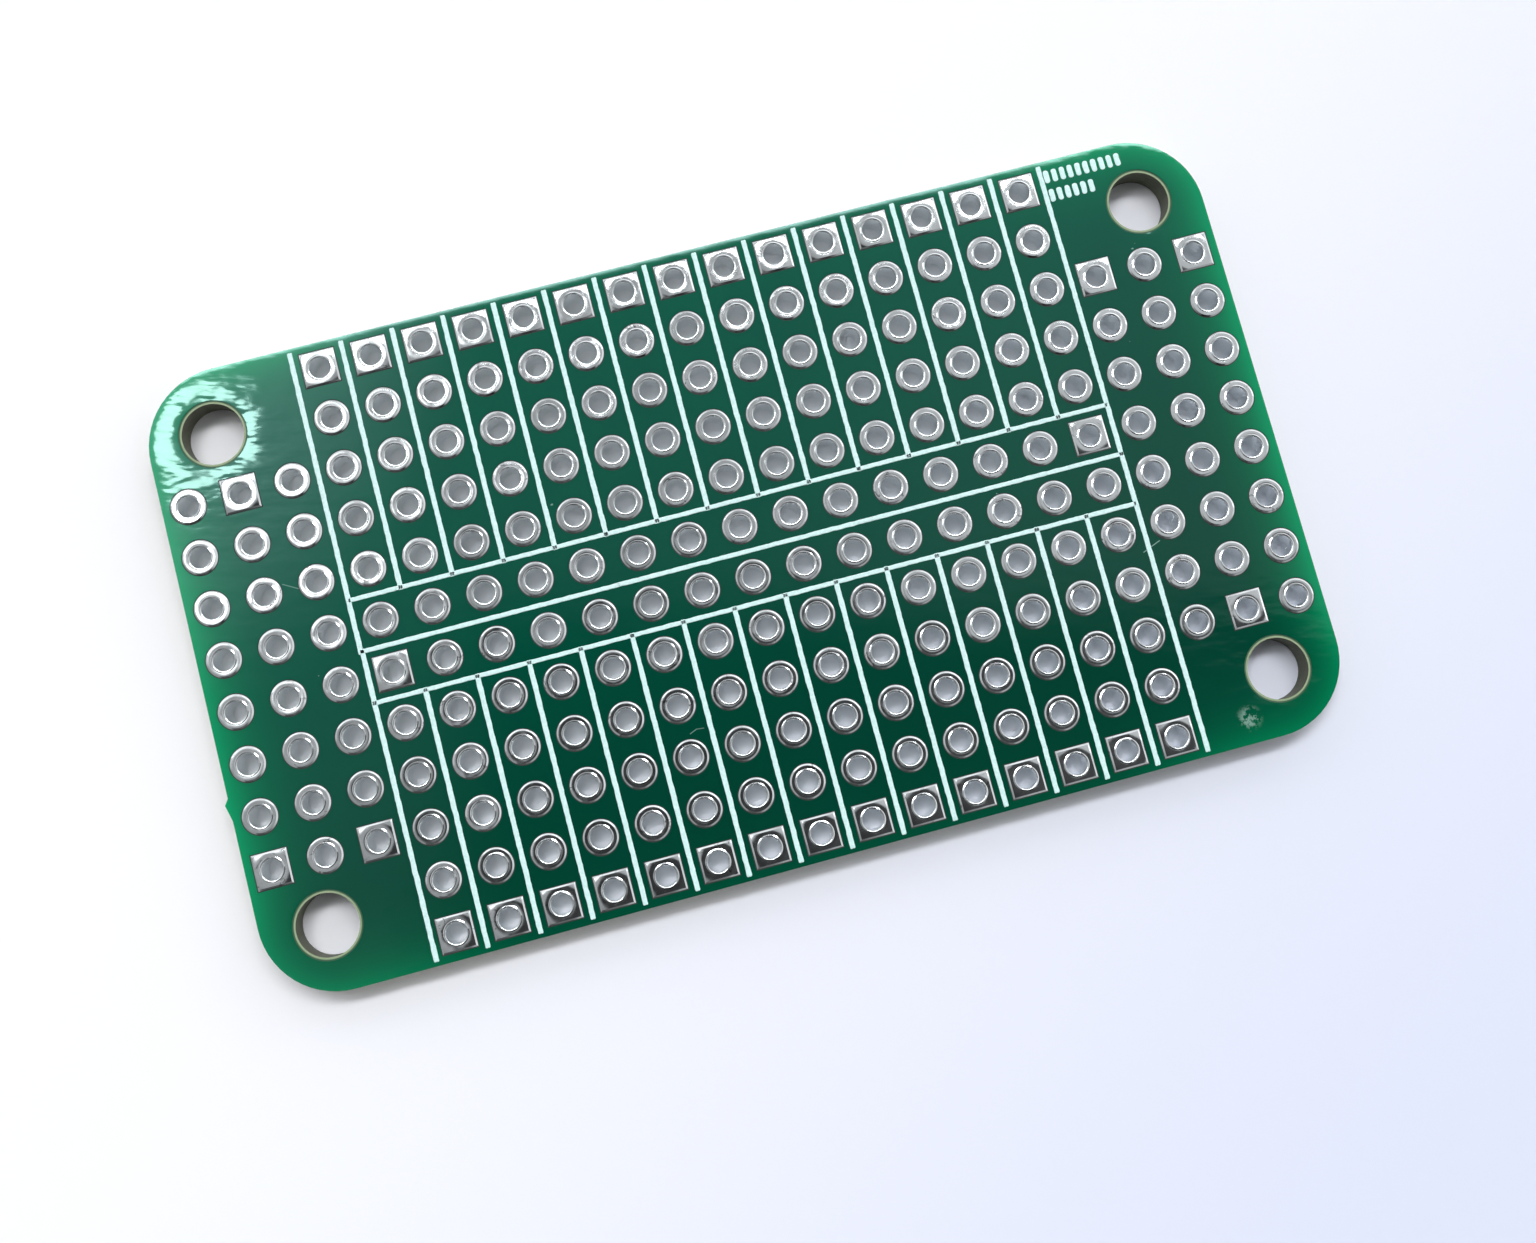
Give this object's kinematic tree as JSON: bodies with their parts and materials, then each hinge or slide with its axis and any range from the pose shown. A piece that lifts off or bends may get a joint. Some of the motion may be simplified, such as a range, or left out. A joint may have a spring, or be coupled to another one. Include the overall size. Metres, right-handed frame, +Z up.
{
  "type": "prototype board",
  "caption": "Green prototype board with tinned lead holes on a 0.1 inch grid, white lines round its joined strips and rails, and a screw hole at each rounded corner.",
  "frame": {"origin": "middle of the board in plan, at the height of the underside pads' crests, which it rests on", "axes": "+X along the board to the picture's right, +Y across it to the picture's upper edge, +Z up out of the printed face"},
  "size_m": [0.0536, 0.0304, 0.0017],
  "materials": {
    "laminate": "glass-fibre epoxy laminate, sawn and routed edge with the weave showing",
    "solder_mask": "glossy translucent green solder mask",
    "legend_ink": "white printed ink, slightly raised",
    "tin": "bright, slightly lumpy hot-levelled tin over copper"
  },
  "bodies": {
    "root": {"laminate": "laminate", "solder_mask_top": "solder_mask", "solder_mask_bottom": "solder_mask", "legend_top": "legend_ink", "conductor_rail_upper": "tin", "conductor_rail_lower": "tin", "conductor_strip_top_01": "tin", "conductor_strip_top_02": "tin", "conductor_strip_top_03": "tin", "conductor_strip_top_04": "tin", "conductor_strip_top_05": "tin", "conductor_strip_top_06": "tin", "conductor_strip_top_07": "tin", "conductor_strip_top_08": "tin", "conductor_strip_top_09": "tin", "conductor_strip_top_10": "tin", "conductor_strip_top_11": "tin", "conductor_strip_top_12": "tin", "conductor_strip_top_13": "tin", "conductor_strip_top_14": "tin", "conductor_strip_top_15": "tin", "conductor_strip_bottom_01": "tin", "conductor_strip_bottom_02": "tin", "conductor_strip_bottom_03": "tin", "conductor_strip_bottom_04": "tin", "conductor_strip_bottom_05": "tin", "conductor_strip_bottom_06": "tin", "conductor_strip_bottom_07": "tin", "conductor_strip_bottom_08": "tin", "conductor_strip_bottom_09": "tin", "conductor_strip_bottom_10": "tin", "conductor_strip_bottom_11": "tin", "conductor_strip_bottom_12": "tin", "conductor_strip_bottom_13": "tin", "conductor_strip_bottom_14": "tin", "conductor_strip_bottom_15": "tin", "conductor_left_column_01": "tin", "conductor_left_column_02": "tin", "conductor_left_column_03": "tin", "conductor_right_column_01": "tin", "conductor_right_column_02": "tin", "conductor_right_column_03": "tin"}
  },
  "joints": []
}
